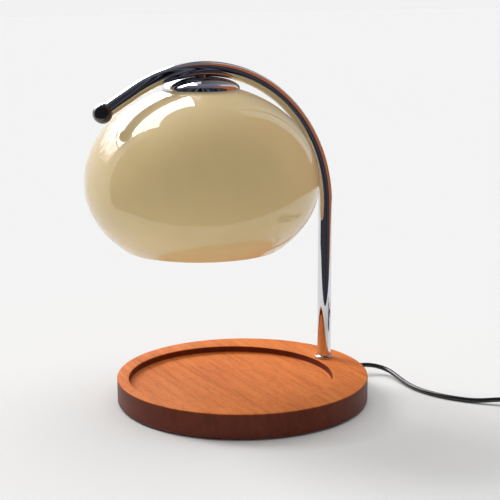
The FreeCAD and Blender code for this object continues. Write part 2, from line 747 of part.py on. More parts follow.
def dimmer():
    """Inline dimmer: two moulded shells, a thumbwheel on its pin, the board and what it carries."""
    half = DIMMER_WIDE / 2
    t = DIMMER_WALL
    mid = DIMMER_LONG / 2
    wheel_y = half - WHEEL_R + 3.0
    wheel_high = WHEEL_LOW + WHEEL_THICK
    entry = Part.makeCylinder(CORD_R + 0.05, DIMMER_LONG + 4, V(-2, 0, 6.5), V(1, 0, 0))
    slot = cylinder(WHEEL_R + 0.6, WHEEL_LOW - 0.6, wheel_high + 0.6, mid, wheel_y)
    screws = [(9.0, -8.5), (DIMMER_LONG - 9.0, -8.5)]
    upright = lambda body: [e for e in body.Edges if abs(e.tangentAt(e.FirstParameter).z) > 0.9]

    base = pill(0, DIMMER_LONG, half, 0, DIMMER_SPLIT, 6.0)
    base = base.makeFillet(1.2, [e for e in base.Edges if abs(e.CenterOfMass.z) < 1e-4])
    base = base.cut(pill(t, DIMMER_LONG - t, half - t, t, DIMMER_SPLIT + 1, 6.0 - t))
    lid = pill(0, DIMMER_LONG, half, DIMMER_SPLIT, DIMMER_HIGH, 6.0)
    lid = lid.makeFillet(3.0, [e for e in lid.Edges if abs(e.CenterOfMass.z - DIMMER_HIGH) < 1e-4])
    lid = lid.cut(pill(t, DIMMER_LONG - t, half - t, DIMMER_SPLIT - 1, DIMMER_HIGH - t, 6.0 - t))
    for sx, sy in screws:
        base = base.fuse(cylinder(2.6, t / 2, DIMMER_SPLIT, sx, sy))
        lid = lid.fuse(cylinder(2.6, DIMMER_SPLIT, DIMMER_HIGH - t / 2, sx, sy))
        base = base.cut(cylinder(1.4, -1, DIMMER_SPLIT + 1, sx, sy)).cut(cylinder(2.4, -1, 2.2, sx, sy))
        lid = lid.cut(cylinder(1.1, DIMMER_SPLIT - 1, DIMMER_HIGH - 3.5, sx, sy))
    base = base.cut(entry).cut(slot)
    lid = lid.cut(slot)
    for k in range(5):
        gx = mid - 8 + 4 * k
        lid = lid.cut(block(gx - 0.6, gx + 0.6, -11.5, -3.5, DIMMER_HIGH - 0.6, DIMMER_HIGH + 1))

    board_low = 3.2
    board = block(15, DIMMER_LONG - 15, -11.5, 12.5, board_low, board_low + 1.6)
    pot = cylinder(7.0, board_low + 1.6, WHEEL_LOW - 0.4, mid, wheel_y)
    pot = pot.fuse(cylinder(POT_PIN_R, board_low + 1.6, wheel_high + 1.2, mid, wheel_y))
    triac = block(mid + 13.0, mid + 17.5, -4.0, 6.0, board_low + 1.6, board_low + 11)
    capacitor = block(mid - 17.5, mid - 12.5, -4.0, 8.0, board_low + 1.6, board_low + 10.5)
    capacitor = capacitor.makeFillet(1.0, upright(capacitor))

    profile = []
    for k in range(2 * WHEEL_RIBS):
        r = WHEEL_R if k % 2 == 0 else WHEEL_R - 0.55
        a = math.pi * k / WHEEL_RIBS
        profile.append(V(mid + r * math.cos(a), wheel_y + r * math.sin(a), WHEEL_LOW))
    profile.append(profile[0])
    wheel = Part.Face(Part.makePolygon(profile)).extrude(V(0, 0, WHEEL_THICK))
    wheel = wheel.cut(ring(WHEEL_R - 2.5, 3.5, wheel_high - 1.2, wheel_high + 1, mid, wheel_y))
    wheel = wheel.cut(cylinder(POT_PIN_R + 0.05, WHEEL_LOW - 1, wheel_high + 1, mid, wheel_y))

    fasteners = []
    for sx, sy in screws:
        shank = cylinder(1.08, 2.2, DIMMER_HIGH - 4.5, sx, sy)
        fasteners.append(shank.fuse(cylinder(2.3, 0.9, 2.2, sx, sy)))
    pieces = {
        "dimmer_base": base,
        "dimmer_lid": lid,
        "dimmer_board": board,
        "dimmer_pot": pot,
        "dimmer_triac": triac,
        "dimmer_capacitor": capacitor,
        "dimmer_wheel": wheel,
        "dimmer_screws": Part.makeCompound(fasteners),
    }
    for name, shape in pieces.items():
        save(name, placed(shape, DIMMER_START, DIMMER_HEADING))
    pin = DIMMER_START + heading(DIMMER_HEADING) * mid + heading(DIMMER_HEADING + 90) * wheel_y
    print("wheel axis at", round(pin.x, 3), round(pin.y, 3))


def plug(start, degrees):
    """Flat plug on the floor: tapered neck, waisted body, and two pins with sleeves."""
    z = PLUG_HIGH / 2
    half = PLUG_WIDE / 2
    neck_end = PLUG_NECK
    face = PLUG_NECK + PLUG_BODY
    neck = Part.makeCone(CORD_R + 0.6, 4.6, neck_end + 2, V(0, 0, z), V(1, 0, 0))
    outline = [
        V(neck_end, -5.5, 0),
        V(neck_end + 9, -12.5, 0),
        V(face - 16, -half, 0),
        V(face, -half + 2.5, 0),
        V(face, half - 2.5, 0),
        V(face - 16, half, 0),
        V(neck_end + 9, 12.5, 0),
        V(neck_end, 5.5, 0),
        V(neck_end, -5.5, 0),
    ]
    body = Part.Face(Part.makePolygon(outline)).extrude(V(0, 0, PLUG_HIGH))
    body = body.makeFillet(2.0, [e for e in body.Edges if abs(e.tangentAt(e.FirstParameter).z) > 0.9])
    level = [e for e in body.Edges if min(e.CenterOfMass.z, PLUG_HIGH - e.CenterOfMass.z) < 1e-4]
    body = body.makeFillet(1.8, level)
    body = body.fuse(neck)
    pins = []
    sleeves = []
    for side in (-1, 1):
        y = side * PLUG_PIN_SPACING / 2
        bore = Part.makeCylinder(1.5, PLUG_SLEEVE + 8, V(face - 8, y, z), V(1, 0, 0))
        body = body.cut(bore)
        bare = PLUG_PIN_LONG - PLUG_SLEEVE
        tip = Part.makeCylinder(PLUG_PIN_R, bare, V(face + PLUG_SLEEVE, y, z), V(1, 0, 0))
        ends = [e for e in tip.Edges if abs(e.CenterOfMass.x - face - PLUG_PIN_LONG) < 1e-4]
        tip = tip.makeFillet(1.6, ends)
        pins.append(tip.fuse(bore))
        sleeve = Part.makeCylinder(PLUG_PIN_R - 0.1, PLUG_SLEEVE, V(face, y, z), V(1, 0, 0))
        sleeves.append(sleeve.cut(bore))
    save("plug_body", placed(body, start, degrees))
    save("plug_pins", placed(Part.makeCompound(pins), start, degrees))
    save("plug_sleeves", placed(Part.makeCompound(sleeves), start, degrees))


def cords():
    """The free stretches of the lead, the coil with its tie, and the plug."""
    lead, lead_long = pipe(route(lead_points(), "cord_lead"), CORD_R)
    check_tube("cord_lead", lead, lead_long, CORD_R)
    save("cord_lead", lead)
    middle, middle_long = pipe(route(middle_points(), "cord_middle"), CORD_R)
    check_tube("cord_middle", middle, middle_long, CORD_R)
    save("cord_middle", middle)
    coil, coil_long = cord_coil()
    save("cord_coil", coil)
    tail, tail_long = pipe(route(tail_points(), "cord_tail"), CORD_R)
    check_tube("cord_tail", tail, tail_long, CORD_R)
    save("cord_tail", tail)
    save("cord_tie", cord_tie())
    points = tail_points()
    on = points[-1] - points[-2]
    plug(V(points[-1].x, points[-1].y, 0), math.degrees(math.atan2(on.y, on.x)))
    onward = middle_long + coil_long + tail_long
    print("lead to dimmer", round(lead_long, 1), "dimmer to plug", round(onward, 1))
    print("cord in all", round(lead_long + onward, 1))


def main():
    os.makedirs("parts", exist_ok=True)
    save("base_disc", base_disc())
    save("underside_pad", underside_pad())
    save("post_ferrule", post_ferrule())
    post_fixing()
    save("arm_tube", arm_tube())
    save("ball_cap", ball_cap())
    save("inner_wires", inner_wires())
    save("hanger_nipple", ring(NIPPLE_R, NIPPLE_BORE, NIPPLE_FOOT, ARM_APEX - TUBE_R + 2, SHADE_X))
    save("shade_glass", shade_glass())
    save("cap_dome", cap_dome())
    save("cap_gasket", soft_ring(CAP_R - 1.4, CAP_R, cap_seat(), True))
    save("gallery_gasket", soft_ring(PLATE_R - 6, PLATE_R - 1, PLATE_TOP, False))
    save("gallery_plate", gallery_plate())
    low = PLATE_TOP - PLATE_THICK
    save("gallery_nut", hexagon_nut(NUT_FLATS, NIPPLE_R + 0.02, low - GALLERY_NUT, low, SHADE_X))
    above = hexagon_nut(NUT_FLATS, NIPPLE_R + 0.02, STRAP_TOP, STRAP_TOP + THIN_NUT, SHADE_X)
    under = STRAP_TOP - STRAP_THICK
    below = hexagon_nut(NUT_FLATS, NIPPLE_R + 0.02, under - THIN_NUT, under, SHADE_X)
    save("bracket_nuts", Part.makeCompound([above, below]))
    save("holder_bracket", holder_bracket())
    save("lamp_holder", lamp_holder())
    save("holder_screws", holder_screws())
    bulb()
    save("cord_relief", cord_relief())
    dimmer()
    cords()


main()
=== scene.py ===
# Candle warmer lamp: finishes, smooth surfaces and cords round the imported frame. Metres.
import json
import math

import bmesh
import bpy
import numpy as np
from mathutils import Matrix, Vector

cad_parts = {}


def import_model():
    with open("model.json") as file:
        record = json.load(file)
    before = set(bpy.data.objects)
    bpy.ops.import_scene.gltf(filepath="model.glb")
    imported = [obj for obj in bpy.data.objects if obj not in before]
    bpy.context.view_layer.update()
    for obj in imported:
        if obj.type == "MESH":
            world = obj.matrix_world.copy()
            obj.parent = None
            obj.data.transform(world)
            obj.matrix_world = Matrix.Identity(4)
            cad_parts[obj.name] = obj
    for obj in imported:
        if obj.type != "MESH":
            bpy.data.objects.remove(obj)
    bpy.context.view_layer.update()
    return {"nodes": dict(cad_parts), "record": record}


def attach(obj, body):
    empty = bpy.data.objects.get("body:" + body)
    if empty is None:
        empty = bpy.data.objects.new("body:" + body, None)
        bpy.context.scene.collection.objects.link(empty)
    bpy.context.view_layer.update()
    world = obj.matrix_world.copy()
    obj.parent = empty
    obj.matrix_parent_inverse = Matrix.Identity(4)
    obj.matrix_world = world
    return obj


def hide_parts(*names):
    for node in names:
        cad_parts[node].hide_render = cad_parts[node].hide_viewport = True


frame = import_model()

# Driving dimensions, the same as the frame's
MM = 0.001
BASE_R = 107.5 * MM
BASE_TOP = 22.5 * MM
BASE_LOW = 1.5 * MM
WELL_R = 87.0 * MM
WELL_X = -11.5 * MM
WELL_FLOOR = 16.0 * MM
POST_X = 85.0 * MM
FERRULE_R = 8.2 * MM
FERRULE_HIGH = 2.7 * MM
TUBE_R = 6.0 * MM
BEND_R = 122.5 * MM
BEND_Z = 161.0 * MM
BEND_TURN = math.radians(119.5)
TIP_RUN = 25.5 * MM
BALL_R = 8.0 * MM
BALL_OUT = 5.5 * MM
SHADE_X = POST_X - BEND_R
SHADE_R = 96.0 * MM
EQUATOR = 191.5 * MM
CROWN_HIGH = 79.3 * MM
BOWL_DEEP = 72.6 * MM
GLASS = 3.0 * MM
GLASS_HOLE_R = 18.0 * MM
MOUTH_R = 66.0 * MM
CAP_R = 31.3 * MM
CAP_LOW = 267.27 * MM
CAP_SKIRT = 0.9 * MM
CAP_TOP = 277.48 * MM
CAP_HOLE_R = 4.2 * MM
CAP_WALL = 0.8 * MM
LIP_THICKNESS = 2.6 * MM
FERRULE_BORE = TUBE_R + 0.05 * MM
SPIGOT_R = 4.9 * MM
SPIGOT_LONG = 8.0 * MM
CORD_R = 2.0 * MM
EXIT_Z = 8.5 * MM
RELIEF_IN = 94.8 * MM
RELIEF_OUT = 116.5 * MM

# Camera and the directions it gives to the studio
LOOK = math.radians(31.27)
PITCH = math.radians(11.96)
ROLL = math.radians(0.25)
CAMERA_BACK = 1.0465
CAMERA_SIDE = -6.92 * MM
CAMERA_HIGH = 351.9 * MM
LENS = 91.25
SENSOR = 36.0


# Meshes

def new_object(name, data, body=None, material=None):
    """An object at the origin that holds the data, with its material and the body that it rides on."""
    piece = bpy.data.objects.new(name, data)
    bpy.context.scene.collection.objects.link(piece)
    if material:
        data.materials.append(material)
    if body:
        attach(piece, body)
    return piece


def grid_surface(name, points, body, material, sharp=35.0):
    """A surface from a grid of points, rows by columns. Columns close on themselves, and a row of equal
    points is a pole. Doubles are merged, the profile closes the ends, and normals face outwards."""
    rows, columns = points.shape[:2]
    index = np.arange(rows * columns).reshape(rows, columns)
    after = np.roll(index, -1, axis=1)
    faces = np.stack([index[:-1], after[:-1], after[1:], index[1:]], axis=-1).reshape(-1, 4)
    mesh = bpy.data.meshes.new(name)
    mesh.from_pydata(points.reshape(-1, 3), [], faces.tolist())
    build = bmesh.new()
    build.from_mesh(mesh)
    bmesh.ops.remove_doubles(build, verts=build.verts, dist=1e-7)
    bmesh.ops.dissolve_degenerate(build, edges=build.edges, dist=1e-8)
    bmesh.ops.recalc_face_normals(build, faces=build.faces)
    build.to_mesh(mesh)
    build.free()
    mesh.shade_smooth()
    mesh.set_sharp_from_angle(angle=math.radians(sharp))
    return new_object(name, mesh, body, material)


def rounded(corners, radii, steps=8):
    """Outline through corners, each rounded by its radius. The arc runs between two tangent points, which lie
    radius / tan(half the corner's angle) from the corner, about a centre on the corner's bisector."""
    corners = np.asarray(corners, float)
    line = [corners[:1]]
    for before, corner, after, radius in zip(corners, corners[1:], corners[2:], radii):
        back = (before - corner) / np.linalg.norm(before - corner)
        on = (after - corner) / np.linalg.norm(after - corner)
        half = math.acos(np.clip(back @ on, -1, 1)) / 2
        if radius <= 0 or half > 1.55:
            line.append(corner[None])
            continue
        middle = (back + on) / np.linalg.norm(back + on)
        centre = corner + middle * radius / math.sin(half)
        first = corner + back * radius / math.tan(half) - centre
        last = corner + on * radius / math.tan(half) - centre
        share = np.linspace(0, 1, steps)[:, None]
        turn = math.pi - 2 * half
        swept = np.sin((1 - share) * turn) * first + np.sin(share * turn) * last
        line.append(centre + swept / math.sin(turn))
    line.append(corners[-1:])
    return np.vstack(line)


def turned(name, profile, body, material, centre=(0, 0, 0), columns=128, axis=(0, 0, 1), sharp=35.0):
    """Turned surface: a profile point (r, z) becomes the circle r (cos t, sin t), moved z along the axis."""
    profile = np.asarray(profile, float)
    angle = np.linspace(0, 2 * math.pi, columns, endpoint=False)
    circle = np.stack([np.cos(angle), np.sin(angle), np.zeros(columns)], axis=-1)
    points = profile[:, 0, None, None] * circle + profile[:, 1, None, None] * np.array([0, 0, 1.0])
    turn = np.array(Vector((0, 0, 1)).rotation_difference(Vector(axis)).to_matrix())
    return grid_surface(name, points @ turn.T + np.array(centre), body, material, sharp)


def ellipse(r, wide, high):
    """Height of an ellipse with half axes wide and high at radius r."""
    return high * np.sqrt(np.clip(1 - (r / wide) ** 2, 0, 1))


def arc_radii(near, far, wide, count):
    """Radii along an ellipse between two radii, evenly spaced in its angle: r = wide cos t."""
    return wide * np.cos(np.linspace(math.acos(near / wide), math.acos(far / wide), count))


# Node helpers

def new_material(name):
    """A material with its node tree, output and surface shader."""
    material = bpy.data.materials.new(name)
    material.use_nodes = True
    tree = material.node_tree
    return material, tree, tree.nodes["Principled BSDF"]


def add(tree, kind, **values):
    """A node of a kind, with attributes by name and input defaults as in_0, in_Scale and so on."""
    node = tree.nodes.new(kind)
    for key, value in values.items():
        if key.startswith("in_"):
            slot = key[3:].replace("_", " ")
            node.inputs[int(slot) if slot.isdigit() else slot].default_value = value
        else:
            setattr(node, key, value)
    return node


def wire(tree, source, target):
    """Links an output socket to an input socket."""
    tree.links.new(source, target)


def ramp(tree, factor, stops):
    """A colour ramp with stops of (position, colour)."""
    node = add(tree, "ShaderNodeValToRGB")
    while len(node.color_ramp.elements) < len(stops):
        node.color_ramp.elements.new(0.5)
    for element, (place, colour) in zip(node.color_ramp.elements, stops):
        element.position = place
        element.color = (*colour, 1) if len(colour) == 3 else colour
    wire(tree, factor, node.inputs["Fac"])
    return node.outputs["Color"]


def math_node(tree, operation, a, b=None, c=None, clamp=False):
    """A maths node whose operands are sockets or numbers."""
    node = add(tree, "ShaderNodeMath", operation=operation, use_clamp=clamp)
    for slot, value in enumerate((a, b, c)):
        if isinstance(value, (int, float)):
            node.inputs[slot].default_value = value
        elif value is not None:
            wire(tree, value, node.inputs[slot])
    return node.outputs[0]


def mix_colour(tree, factor, a, b, blend="MIX"):
    """A colour mix whose operands are sockets, colours or numbers."""
    node = add(tree, "ShaderNodeMix", data_type="RGBA", blend_type=blend)
    for slot, value in ((0, factor), (6, a), (7, b)):
        if isinstance(value, (int, float)):
            node.inputs[slot].default_value = value
        elif isinstance(value, tuple):
            node.inputs[slot].default_value = (*value, 1)
        else:
            wire(tree, value, node.inputs[slot])
    return node.outputs[2]


def object_place(tree, period=(1, 1, 1), rotation=(0, 0, 0)):
    """The piece's own coordinates, turned and then divided by a length along each turned axis."""
    place = add(tree, "ShaderNodeTexCoord")
    mapping = add(tree, "ShaderNodeMapping", vector_type="TEXTURE", in_Scale=period, in_Rotation=rotation)
    wire(tree, place.outputs["Object"], mapping.inputs["Vector"])
    return mapping.outputs["Vector"]


def new_group(name, inputs, outputs):
    """A shader node group with named sockets; inputs are (kind, name, default)."""
    group = bpy.data.node_groups.new(name, "ShaderNodeTree")
    for kind, label, default in inputs:
        socket = group.interface.new_socket(name=label, in_out="INPUT", socket_type="NodeSocket" + kind)
        if default is not None:
            socket.default_value = default
    for kind, label in outputs:
        group.interface.new_socket(name=label, in_out="OUTPUT", socket_type="NodeSocket" + kind)
    return group, group.nodes.new("NodeGroupInput"), group.nodes.new("NodeGroupOutput")


def fine_wear_group():
    """Small smudges and specks that change roughness, and a fine grain for bump."""
    group, given, made = new_group(
        "fine_wear",
        [("Vector", "Place", None), ("Float", "Smudge Scale", 30.0), ("Float", "Grain Scale", 900.0),
         ("Float", "Roughness", 0.3), ("Float", "Variation", 0.1)],
        [("Float", "Roughness"), ("Float", "Height"), ("Float", "Mask")],
    )
    smudge = add(group, "ShaderNodeTexNoise", in_Detail=5.0, in_Roughness=0.6)
    grain = add(group, "ShaderNodeTexNoise", in_Detail=2.0)
    for node, label in ((smudge, "Smudge Scale"), (grain, "Grain Scale")):
        wire(group, given.outputs["Place"], node.inputs["Vector"])
        wire(group, given.outputs[label], node.inputs["Scale"])
    centred = math_node(group, "SUBTRACT", smudge.outputs["Fac"], 0.5)
    swing = math_node(group, "MULTIPLY", centred, given.outputs["Variation"])
    rough = math_node(group, "MULTIPLY_ADD", swing, 2.0, given.outputs["Roughness"], clamp=True)
    wire(group, rough, made.inputs["Roughness"])
    wire(group, grain.outputs["Fac"], made.inputs["Height"])
    wire(group, smudge.outputs["Fac"], made.inputs["Mask"])
    return group


WEAR = fine_wear_group()


def worn(tree, shader, roughness, variation, smudge=30.0, grain=900.0, bump=0.05, depth=0.0002):
    """Places the wear group in a material and feeds its roughness and a fine bump."""
    node = add(tree, "ShaderNodeGroup", node_tree=WEAR)
    wire(tree, object_place(tree), node.inputs["Place"])
    node.inputs["Smudge Scale"].default_value = smudge
    node.inputs["Grain Scale"].default_value = grain
    node.inputs["Roughness"].default_value = roughness
    node.inputs["Variation"].default_value = variation
    wire(tree, node.outputs["Roughness"], shader.inputs["Roughness"])
    if bump:
        raised = add(tree, "ShaderNodeBump", in_Strength=bump, in_Distance=depth)
        wire(tree, node.outputs["Height"], raised.inputs["Height"])
        wire(tree, raised.outputs["Normal"], shader.inputs["Normal"])
    return node


def plain(name, colour, roughness, variation=0.08, metallic=0.0, tint=0.12, coat=0.0, bump=0.05,
          grain=900.0):
    """A moulded, cast or plated finish: one colour with slight cloudiness, smudged gloss and a fine grain."""
    material, tree, shader = new_material(name)
    node = worn(tree, shader, roughness, variation, grain=grain, bump=bump)
    dark = tuple(c * (1 - tint) for c in colour)
    light = tuple(min(1.0, c * (1 + tint)) for c in colour)
    colours = ramp(tree, node.outputs["Mask"], [(0.35, dark), (0.65, light)])
    wire(tree, colours, shader.inputs["Base Color"])
    shader.inputs["Metallic"].default_value = metallic
    shader.inputs["Coat Weight"].default_value = coat
    shader.inputs["Coat Roughness"].default_value = 0.04
    return material


def wood_material():
    """Stained beech: streaks that run along the board, short pores, and a darker end grain round the side,
    which is darkened further as painted shade.
    """
    material, tree, shader = new_material("stained_beech")
    turn = (0, 0, GRAIN_TURN)
    along = object_place(tree, period=STREAK_SIZE, rotation=turn)
    streak = add(tree, "ShaderNodeTexNoise", in_Scale=1.0, in_Detail=6.0, in_Roughness=0.62,
                 in_Distortion=0.6)
    wire(tree, along, streak.inputs["Vector"])
    wide = object_place(tree, period=BAND_SIZE, rotation=turn)
    bands = add(tree, "ShaderNodeTexNoise", in_Scale=1.0, in_Detail=3.0, in_Roughness=0.5, in_Distortion=1.2)
    wire(tree, wide, bands.inputs["Vector"])
    short = object_place(tree, period=PORE_SIZE, rotation=turn)
    pores = add(tree, "ShaderNodeTexNoise", in_Scale=1.0, in_Detail=1.0)
    wire(tree, short, pores.inputs["Vector"])
    tone = math_node(tree, "ADD", math_node(tree, "MULTIPLY", streak.outputs["Fac"], 0.6),
                     math_node(tree, "MULTIPLY", bands.outputs["Fac"], 0.4))
    top = ramp(tree, tone, [(0.34, WOOD_DARK), (0.5, WOOD_MID), (0.66, WOOD_LIGHT)])
    pore = math_node(tree, "LESS_THAN", pores.outputs["Fac"], PORE_SHARE)
    top = mix_colour(tree, math_node(tree, "MULTIPLY", pore, PORE_DEPTH), top, WOOD_PORE)
    # The side faces are end grain, which takes up more stain; their colour is also darkened further as
    # painted shade on the upright faces
    facing = add(tree, "ShaderNodeSeparateXYZ")
    wire(tree, add(tree, "ShaderNodeNewGeometry").outputs["Normal"], facing.inputs[0])
    upright = math_node(tree, "SUBTRACT", 1.0, math_node(tree, "MAXIMUM", facing.outputs["Z"], 0.0))
    side = ramp(tree, upright, [(0.35, (0, 0, 0)), (0.9, (1, 1, 1))])
    end_grain_and_shade = ramp(tree, tone, [(0.3, END_GRAIN_SHADE_DARK), (0.7, END_GRAIN_SHADE_LIGHT)])
    wire(tree, mix_colour(tree, side, top, end_grain_and_shade), shader.inputs["Base Color"])
    # Lacquer builds up there to a soft sheen
    wire(tree, math_node(tree, "MULTIPLY", side, 0.25), shader.inputs["Coat Weight"])
    shader.inputs["Coat Roughness"].default_value = 0.3
    worn(tree, shader, 0.5, 0.1, smudge=18.0, bump=0.0)
    height = math_node(tree, "ADD", math_node(tree, "MULTIPLY", streak.outputs["Fac"], 0.4),
                       math_node(tree, "MULTIPLY", pore, -0.5))
    raised = add(tree, "ShaderNodeBump", in_Strength=0.25, in_Distance=0.0002)
    wire(tree, height, raised.inputs["Height"])
    wire(tree, raised.outputs["Normal"], shader.inputs["Normal"])
    shader.inputs["Specular IOR Level"].default_value = 0.09
    return material


def glass_material():
    """Opal glass cased in clear glass: an even cream body under a deep gloss with a very slight wave."""
    material, tree, shader = new_material("cream_opal_glass")
    place = object_place(tree)
    cloud = add(tree, "ShaderNodeTexNoise", in_Scale=14.0, in_Detail=2.0)
    wire(tree, place, cloud.inputs["Vector"])
    body = ramp(tree, cloud.outputs["Fac"], [(0.3, GLASS_DEEP), (0.7, GLASS_PALE)])
    wire(tree, body, shader.inputs["Base Color"])
    shader.inputs["Roughness"].default_value = 0.5
    shader.inputs["Subsurface Weight"].default_value = 0.1
    shader.inputs["Subsurface Radius"].default_value = (0.006, 0.005, 0.003)
    shader.inputs["Specular IOR Level"].default_value = 0.1
    shader.inputs["Coat Weight"].default_value = 1.0
    shader.inputs["Coat Roughness"].default_value = 0.0
    shader.inputs["Coat IOR"].default_value = 1.6
    wave = add(tree, "ShaderNodeTexNoise", in_Scale=26.0, in_Detail=1.0)
    wire(tree, place, wave.inputs["Vector"])
    raised = add(tree, "ShaderNodeBump", in_Strength=0.015, in_Distance=0.001)
    wire(tree, wave.outputs["Fac"], raised.inputs["Height"])
    wire(tree, raised.outputs["Normal"], shader.inputs["Coat Normal"])
    return material


def chrome_material(name="polished_chrome", roughness=0.03):
    """Bright plating over polished tube: nearly a mirror, with faint smudges."""
    material, tree, shader = new_material(name)
    worn(tree, shader, roughness, 0.03, smudge=22.0, bump=0.0)
    shader.inputs["Base Color"].default_value = (0.72, 0.72, 0.745, 1)
    shader.inputs["Metallic"].default_value = 1.0
    return material


# Wood grain: its direction, and the length, width and height of one streak, band and pore in metres
GRAIN_TURN = math.radians(-94)
STREAK_SIZE = (0.075, 0.0045, 0.012)
BAND_SIZE = (0.25, 0.032, 0.05)
PORE_SIZE = (0.006, 0.0008, 0.0014)
PORE_SHARE = 0.36
PORE_DEPTH = 0.45

# Colours, as they look under plain light
WOOD_LIGHT = (0.90, 0.29, 0.072)
WOOD_MID = (0.80, 0.225, 0.050)
WOOD_DARK = (0.62, 0.155, 0.034)
WOOD_PORE = (0.34, 0.075, 0.016)
# End grain colours: the end grain's darker stain, plus painted shade that darkens the upright side faces
# further
END_GRAIN_SHADE_LIGHT = (0.17, 0.029, 0.008)
END_GRAIN_SHADE_DARK = (0.085, 0.013, 0.0035)
GLASS_PALE = (0.76, 0.58, 0.29)
GLASS_DEEP = (0.72, 0.54, 0.26)

finish = {
    "wood": wood_material(),
    "glass": glass_material(),
    "chrome": chrome_material(),
    "plug_chrome": chrome_material("plated_pin", 0.14),
    "steel": plain("zinc_plated_steel", (0.55, 0.55, 0.56), 0.32, 0.14, metallic=1.0, tint=0.08),
    "ball": plain("black_lacquer", (0.012, 0.011, 0.013), 0.07, 0.03, coat=1.0, bump=0.0),
    "cord": plain("black_cord_jacket", (0.014, 0.013, 0.014), 0.2, 0.06, coat=0.3, bump=0.08),
    "rubber": plain("black_rubber", (0.022, 0.021, 0.021), 0.5, 0.1, bump=0.12),
    "shell": plain("black_moulded_plastic", (0.02, 0.02, 0.021), 0.42, 0.08, bump=0.25, grain=2200.0),
    "silicone": plain("pale_silicone", (0.62, 0.58, 0.50), 0.5),
    "felt": plain("dark_felt", (0.045, 0.04, 0.04), 0.95, 0.03, tint=0.3, bump=0.6, grain=3200.0),
    "ceramic": plain("unglazed_ceramic", (0.72, 0.68, 0.60), 0.55, 0.1),
    "reflector": plain("reflector_coating", (0.78, 0.78, 0.79), 0.16, 0.05, metallic=1.0, bump=0.0),
    "lens": plain("frosted_lens", (0.80, 0.82, 0.83), 0.22, 0.05, coat=0.6, bump=0.15, grain=500.0),
    "board": plain("board_laminate", (0.30, 0.20, 0.07), 0.5),
    "film": plain("capacitor_film", (0.42, 0.035, 0.02), 0.25, coat=0.4),
}


# Object pieces

def tray():
    """Turned tray: stations (centre x, radius, z) carried round one angle, so the well lies off centre."""
    outer = rounded(
        [(0.0, BASE_LOW), (BASE_R, BASE_LOW), (BASE_R, BASE_TOP), (WELL_R + 6 * MM, BASE_TOP)],
        [1.2 * MM, 1.3 * MM],
    )
    inner = rounded(
        [(WELL_R + 3 * MM, BASE_TOP), (WELL_R, BASE_TOP), (WELL_R - 0.3 * MM, WELL_FLOOR), (0.0, WELL_FLOOR)],
        [0.9 * MM, 1.6 * MM],
    )
    profile = np.vstack([outer[:-1], inner[1:]])
    shift = np.concatenate([np.zeros(len(outer) - 1), np.full(len(inner) - 1, WELL_X)])
    angle = np.linspace(0, 2 * math.pi, 256, endpoint=False)
    x = shift[:, None] + profile[:, 0, None] * np.cos(angle)
    y = profile[:, 0, None] * np.sin(angle)
    z = np.broadcast_to(profile[:, 1, None], x.shape)
    piece = grid_surface("turned_tray", np.stack([x, y, z], axis=-1), "root", finish["wood"], sharp=50.0)
    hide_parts("base_disc")


def arm():
    """Bent tube: a circle carried along the post, the bend about (shade axis, bend height) and the tip."""
    post = np.linspace(BASE_TOP, BEND_Z, 12)[:-1]
    turn = np.linspace(0, BEND_TURN, 160)
    along = np.array([-math.sin(BEND_TURN), 0, math.cos(BEND_TURN)])
    x = np.concatenate([np.full(len(post), POST_X), SHADE_X + BEND_R * np.cos(turn)])
    z = np.concatenate([post, BEND_Z + BEND_R * np.sin(turn)])
    lean = np.concatenate([np.zeros(len(post)), turn])
    centre = np.stack([x, np.zeros_like(x), z], axis=-1)
    tip = centre[-1] + np.linspace(0, TIP_RUN, 6)[1:, None] * along
    centre = np.vstack([centre, tip])
    lean = np.concatenate([lean, np.full(len(tip), BEND_TURN)])
    angle = np.linspace(0, 2 * math.pi, 64, endpoint=False)
    across = np.stack([np.cos(lean), np.zeros_like(lean), np.sin(lean)], axis=-1)
    side = np.array([0.0, 1.0, 0.0])
    ring = across[:, None] * np.cos(angle)[None, :, None] + side * np.sin(angle)[None, :, None]
    points = centre[:, None] + TUBE_R * ring
    ends = [np.repeat(centre[[k], None], 64, axis=1) for k in (0, -1)]
    piece = grid_surface("bent_tube", np.vstack([ends[0], points, ends[1]]), "root", finish["chrome"])
    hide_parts("arm_tube")
    return centre[-1], along


def ball(end, along):
    """Ball: an arc of radius BALL_R turned about the tube's axis, flat at the tube, on a spigot."""
    flat = math.acos(-BALL_OUT / BALL_R)
    angle = np.linspace(0, flat, 48)
    sphere = np.stack([BALL_R * np.sin(angle), BALL_OUT + BALL_R * np.cos(angle)], axis=-1)
    spigot = np.array([(SPIGOT_R, 0.0), (SPIGOT_R, -SPIGOT_LONG), (0.0, -SPIGOT_LONG)])
    piece = turned("ball_end", np.vstack([sphere, spigot]), "root", finish["ball"], centre=tuple(end),
                   columns=64, axis=tuple(along))
    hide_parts("ball_cap")


def ferrule():
    """Ferrule: a low ring with a full round outer edge, turned about the post."""
    bore, high = FERRULE_BORE, FERRULE_HIGH
    outline = rounded(
        [(bore, 0), (FERRULE_R, 0), (FERRULE_R, high), (bore, high), (bore, 0)],
        [0.5 * MM, 1.6 * MM, 0.4 * MM],
        steps=10,
    )
    piece = turned("post_collar", outline, "root", finish["chrome"], centre=(POST_X, 0, BASE_TOP), columns=96)
    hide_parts("post_ferrule")


